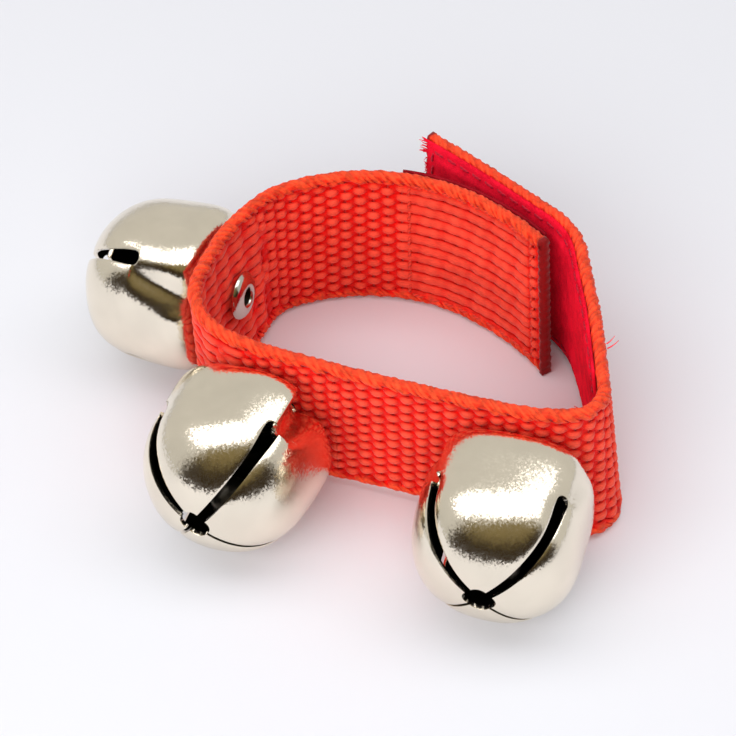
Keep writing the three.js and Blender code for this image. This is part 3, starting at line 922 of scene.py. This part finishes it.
def press_bell(bell, shape, seed):
    """A bell shell about +Y: four petals that part along slots and meet in folded valleys near the base."""
    outlines = [bell_meridian(bell, shape, shape.square + bell.side_square * more) for more in (-0.5, 0.5)]
    run, _, rise = outlines[0]
    slot_from = shape.slot_from * MM
    slot_width = shape.slot_width * MM
    slot_end = slot_width / 2 * bell.slot_flare
    tip = float(np.interp(slot_from - slot_end, rise, run))
    bends = np.linspace(0, math.pi / 2, 9)
    rings = [
        np.concatenate([
            np.linspace(0, tip, 34)[:-1],
            tip + slot_end * (1 - np.cos(bends)),
            np.linspace(tip + slot_end, run[-1], 40)[1:],
        ])
        for run, _, _ in outlines
    ]
    columns = 36
    bm = bmesh.new()
    for petal in range(4):
        made = bmesh.ops.create_grid(bm, x_segments=len(rings[0]) - 1, y_segments=columns, size=0.5)
        bmesh.ops.translate(bm, verts=made["verts"], vec=(0.5, 0, petal))
    mesh = mesh_of(bm, "bell")
    share, side, petal = places_of(mesh).T
    ring = np.round(share * (len(rings[0]) - 1)).astype(int)
    top = np.round(petal) == 0
    along = np.where(top, rings[0][ring], rings[1][ring])
    radius, height = (
        np.where(top, *(np.interp(along, outline[0], outline[i]) for outline in outlines)) for i in (1, 2)
    )
    past = along - tip
    open_end = np.sqrt(np.clip(1 - (1 - past / slot_end) ** 2, 0, 1))
    narrow = slot_end + (slot_width / 2 - slot_end) * ease((past - slot_end) / (6 * MM))
    half_slot = np.where(past <= 0, 0, np.where(past < slot_end, slot_end * open_end, narrow))
    # The two lower slots are the narrowest, so little light comes in through them
    lower = np.cos((petal + side) * math.pi / 2) < -0.01
    half_slot = np.where(lower, 0.4 * half_slot, half_slot)
    spread = math.pi / 4 - np.arcsin(np.clip(half_slot / radius, 0, 0.95))
    turn = 2 * side * spread
    corner = math.pi / 4 - np.abs(turn)
    up = np.where(height > slot_from, 1, ease((radius - bell.base) / (3.6 * MM)))
    power = 2 + (bell.petal_square - 2) * (1 - ease(height / (2.6 * slot_from)))
    square = (np.abs(np.cos(turn)) ** power + np.abs(np.sin(turn)) ** power) ** (-1 / power)
    deep = np.clip(1 - height / slot_from, 0, 1)
    taper = 0.4 + 0.6 * deep
    drop = math.radians(shape.fall)
    beyond = np.clip(corner / taper - math.radians(shape.hold), 0, None) / math.radians(shape.climb)
    around = turn + petal * math.pi / 2
    folded = (np.round(petal) % 2 == 1) & (np.cos(around) > 0)
    fold = np.where(folded, ease(corner / (drop * taper)) * np.exp(-(beyond ** 1.5)), 0)
    fold *= ease((math.pi / 4 - corner) / math.radians(12))
    valley = np.where(np.round(petal) == 1, shape.valley_left, shape.valley_right)
    pressed = radius * (1 + (square - 1) * up) * (1 - valley * deep ** bell.valley_kept * up * fold)
    lip = radius * corner - half_slot
    curl = bell.curl * np.exp(-lip / (0.7 * MM)) * np.clip(past / (2 * MM), 0, 1)
    pressed = pressed - curl
    places = np.stack([pressed * np.sin(around), height, pressed * np.cos(around)], -1)
    for i, place in enumerate(places):
        spot = Vector(place) / (7 * MM) + Vector((seed, 0, 0))
        push = 0.07 * MM * noise.noise(spot) * min(1, height[i] / (4 * MM))
        places[i] = place * (1 + push / (bell.diameter / 2))
    set_places(mesh, places)
    bm = bmesh.new()
    bm.from_mesh(mesh)
    bmesh.ops.remove_doubles(bm, verts=bm.verts, dist=0.003 * MM)
    bmesh.ops.recalc_face_normals(bm, faces=bm.faces)
    middle = Vector((0, shape.length * MM / 2, 0))
    outer = max(bm.faces, key=lambda face: face.calc_center_median().xz.length)
    if outer.normal.dot(outer.calc_center_median() - middle) < 0:
        bmesh.ops.reverse_faces(bm, faces=bm.faces)
    bm.to_mesh(mesh)
    bm.free()
    return mesh


class WRIST_OT_bells(bpy.types.Operator):
    """Press the bell shells and set them on the strap"""

    bl_idname = "wrist.bells"
    bl_label = "Bells"

    def execute(self, context):
        strap = context.scene.wrist_strap
        bell = context.scene.wrist_bell
        finishes = context.scene.wrist_finishes
        nickel = plated_material(SHEET, finishes.nickel)
        # The inner wall, which the solidify gives the second material, carries painted shade
        inside = plated_material(SHEET_INSIDE, finishes.inside)
        for number, shape in enumerate(BELLS):
            mesh = press_bell(bell, shape, number * 3.7)
            turn = Matrix.Rotation(math.radians(shape.roll), 4, "Y")
            mesh.transform(bell_seat(strap, bell, shape) @ turn)
            piece = show(f"bell_{shape.name}_shell", mesh, nickel, inside)
            wall = piece.modifiers.new("wall", "SOLIDIFY")
            wall.thickness = bell.sheet
            wall.offset = -1
            wall.material_offset = 1
            edge = piece.modifiers.new("edge", "BEVEL")
            edge.width = 0.13 * MM
            edge.segments = 2
            edge.limit_method = "ANGLE"
            edge.angle_limit = math.radians(50)
            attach(piece, f"bell_{shape.name}")
            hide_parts(f"bell_shell_{shape.name}")
        return {"FINISHED"}


def turn_profile(points, steps):
    """A mesh turned about +Y from points of radius and height, in millimetres."""
    bm = bmesh.new()
    verts = [bm.verts.new((wide * MM, high * MM, 0)) for wide, high in points]
    edges = [bm.edges.new(pair) for pair in zip(verts, verts[1:])]
    whole = math.radians(360)
    around = {"cent": (0, 0, 0), "axis": (0, 1, 0), "angle": whole, "steps": steps, "use_merge": True}
    bmesh.ops.spin(bm, geom=verts + edges, **around)
    bmesh.ops.remove_doubles(bm, verts=bm.verts, dist=0.002 * MM)
    bmesh.ops.recalc_face_normals(bm, faces=bm.faces)
    return mesh_of(bm, "turned")


# Radius and height of a rivet's outline, from its bore to its tail inside the bell, in millimetres
RIVET_PROFILE = (
    (0, -0.7), (1.0, -0.75), (1.22, -0.95), (1.25, -3.3), (1.3, -3.55), (1.4, -3.74),
    (1.55, -3.84), (1.75, -3.88), (2.0, -3.85), (2.3, -3.79), (2.6, -3.71), (2.95, -3.57),
    (3.25, -3.36), (3.47, -3.12), (3.58, -2.94), (3.6, -2.82), (3.54, -2.71), (3.35, -2.68),
    (1.75, -2.7), (1.68, -2.65), (1.68, 0.8), (1.72, 0.85), (3.0, 0.85), (3.16, 0.92),
    (3.2, 1.1), (3.12, 1.4), (2.7, 1.8), (1.8, 2.08), (0.8, 2.15), (0, 2.16),
)


class WRIST_OT_rivets(bpy.types.Operator):
    """Set the tubular rivets that hold the bells"""

    bl_idname = "wrist.rivets"
    bl_label = "Rivets"

    def execute(self, context):
        strap = context.scene.wrist_strap
        bell = context.scene.wrist_bell
        finishes = context.scene.wrist_finishes
        material = plated_material(RIVET, finishes.steel)
        inside = plated_material(RIVET_BORE, finishes.inside)
        for shape in BELLS:
            mesh = turn_profile(RIVET_PROFILE, 56)
            # The bore's faces get the second material, which is painted shade
            for face in mesh.polygons:
                if face.center.xz.length < 1.28 * MM and face.center.y < 0:
                    face.material_index = 1
            mesh.transform(bell_seat(strap, bell, shape))
            piece = show(f"rivet_{shape.name}_set", mesh, material, inside)
            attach(piece, "band")
            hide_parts(f"rivet_{shape.name}")
        return {"FINISHED"}


class WRIST_OT_pellets(bpy.types.Operator):
    """Drop a tumbled steel pellet into each bell"""

    bl_idname = "wrist.pellets"
    bl_label = "Pellets"

    def execute(self, context):
        bell = context.scene.wrist_bell
        material = plated_material(SHOT, context.scene.wrist_finishes.shot_shaded)
        for number, shape in enumerate(BELLS):
            low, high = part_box(f"pellet_{shape.name}")
            middle = (Vector(low) + Vector(high)) / 2
            bm = bmesh.new()
            bmesh.ops.create_icosphere(bm, subdivisions=4, radius=bell.pellet * 0.985)
            for vert in bm.verts:
                dent = noise.noise(vert.co / (3.5 * MM) + Vector((number * 5, 0, 0)))
                vert.co *= 1 - 0.035 * max(dent, 0)
            bmesh.ops.translate(bm, vec=middle, verts=bm.verts)
            piece = show(f"pellet_{shape.name}_shot", mesh_of(bm, "pellet"), material)
            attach(piece, f"clapper_{shape.name}")
            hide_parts(f"pellet_{shape.name}")
        return {"FINISHED"}


def floor_material(finishes):
    """Matt white board with a faint mottle."""
    material, tree = start_material("matt_white_board")
    place = add_node(tree, "TexCoord").outputs["Object"]
    mottle = rescale(tree, speckle(tree, place, 60 * MM), 0.0, 1.0, 0.985, 1.0)
    end_material(tree, {
        "Base Color": shaded(tree, finishes.floor, mottle),
        "Roughness": 0.85,
        "Specular IOR Level": 0.1,
    })
    return material


def studio_world():
    """A pale room with a dark wall ahead, which shows in the metal; a dim even sky lights the rest."""
    world = bpy.data.worlds.new("studio")
    world.use_nodes = True
    tree = world.node_tree
    tree.nodes.clear()
    ray = add_node(tree, "LightPath")
    part = add_node(tree, "SeparateXYZ", {0: add_node(tree, "TexCoord").outputs["Generated"]})
    ahead = smooth_step(tree, part.outputs["Y"], -0.25, -0.45)
    climb = smooth_step(tree, part.outputs["Z"], 0.3, 0.8)
    wall = mixed(tree, climb, linear("3C3120"), linear("968658"))
    room = mixed(tree, ahead, linear("F0EEE8"), wall)
    lit = mixed(tree, ray.outputs["Is Glossy Ray"], linear("AEADAB"), room)
    shown = mixed(tree, ray.outputs["Is Camera Ray"], lit, linear("F1F1F6"))
    sky = add_node(tree, "Background", {"Color": shown, "Strength": 0.74})
    add_node(tree, "OutputWorld", {"Surface": sky.outputs[0]})
    return world


def stand(name, data, place, aim):
    """A lamp or a camera that looks at a point."""
    made = bpy.data.objects.new(name, data)
    made.location = place
    made.rotation_euler = (Vector(aim) - Vector(place)).to_track_quat("-Z", "Y").to_euler()
    bpy.context.scene.collection.objects.link(made)
    return made


def light_panel(name, place, aim, wide, tall, watts, colour):
    """A soft rectangular lamp that looks at a point."""
    lamp = bpy.data.lights.new(name, "AREA")
    lamp.shape = "RECTANGLE"
    lamp.size = wide
    lamp.size_y = tall
    lamp.energy = watts
    lamp.color = colour
    return stand(name, lamp, place, aim)


class WRIST_OT_stage(bpy.types.Operator):
    """Lay the floor, light it and place the camera"""

    bl_idname = "wrist.stage"
    bl_label = "Stage"

    def execute(self, context):
        scene = context.scene
        bm = bmesh.new()
        bmesh.ops.create_grid(bm, x_segments=1, y_segments=1, size=4)
        show("floor", mesh_of(bm, "floor"), floor_material(scene.wrist_finishes))
        scene.world = studio_world()
        light_panel("overhead", (0.0, 0.02, 0.62), (0, 0.02, 0), 1.3, 0.39, 3.0, (1.0, 1.0, 1.0))
        # The fill is kept out of the reflections, where the dark wall ahead shows
        fill = light_panel("fill", (-0.22, -0.6, 0.42), (0, 0, 0), 0.9, 0.5, 5.0, (1.0, 0.99, 0.98))
        fill.visible_glossy = False
        lens = bpy.data.cameras.new("camera")
        lens.sensor_width = 36
        lens.lens = CAMERA_LENS
        lens.clip_start = 0.01
        aim = Vector((PLAN_ORIGIN[0] * MM, PLAN_ORIGIN[1] * MM, 0))
        scene.camera = stand("camera", lens, aim + Vector(CAMERA_AWAY), aim)
        scene.view_settings.view_transform = "Standard"
        return {"FINISHED"}


STEPS = (
    WRIST_OT_webbing,
    WRIST_OT_hook_patch,
    WRIST_OT_loop_patch,
    WRIST_OT_stitching,
    WRIST_OT_bells,
    WRIST_OT_rivets,
    WRIST_OT_pellets,
    WRIST_OT_stage,
)


class WRIST_PT_maker(bpy.types.Panel):
    """Lists the pieces of the wrist bells, their sizes and their colours"""

    bl_idname = "WRIST_PT_maker"
    bl_label = "Wrist Bells"
    bl_space_type = "VIEW_3D"
    bl_region_type = "UI"
    bl_category = "Wrist Bells"

    def draw(self, context):
        layout = self.layout
        for step in STEPS:
            layout.operator(step.bl_idname)
        for group in (context.scene.wrist_strap, context.scene.wrist_bell, context.scene.wrist_finishes):
            box = layout.box()
            for name in group.__annotations__:
                box.prop(group, name)


GROUPS = {"wrist_strap": StrapSizes, "wrist_bell": BellSizes, "wrist_finishes": Finishes}


def register():
    for name, group in GROUPS.items():
        bpy.utils.register_class(group)
        setattr(bpy.types.Scene, name, PointerProperty(type=group))
    for step in STEPS:
        bpy.utils.register_class(step)
    bpy.utils.register_class(WRIST_PT_maker)


def unregister():
    bpy.utils.unregister_class(WRIST_PT_maker)
    for step in reversed(STEPS):
        bpy.utils.unregister_class(step)
    for name, group in GROUPS.items():
        delattr(bpy.types.Scene, name)
        bpy.utils.unregister_class(group)


def main():
    register()
    bpy.ops.wrist.webbing()
    bpy.ops.wrist.hook_patch()
    bpy.ops.wrist.loop_patch()
    bpy.ops.wrist.stitching()
    bpy.ops.wrist.bells()
    bpy.ops.wrist.rivets()
    bpy.ops.wrist.pellets()
    bpy.ops.wrist.stage()


if __name__ == "__main__":
    main()
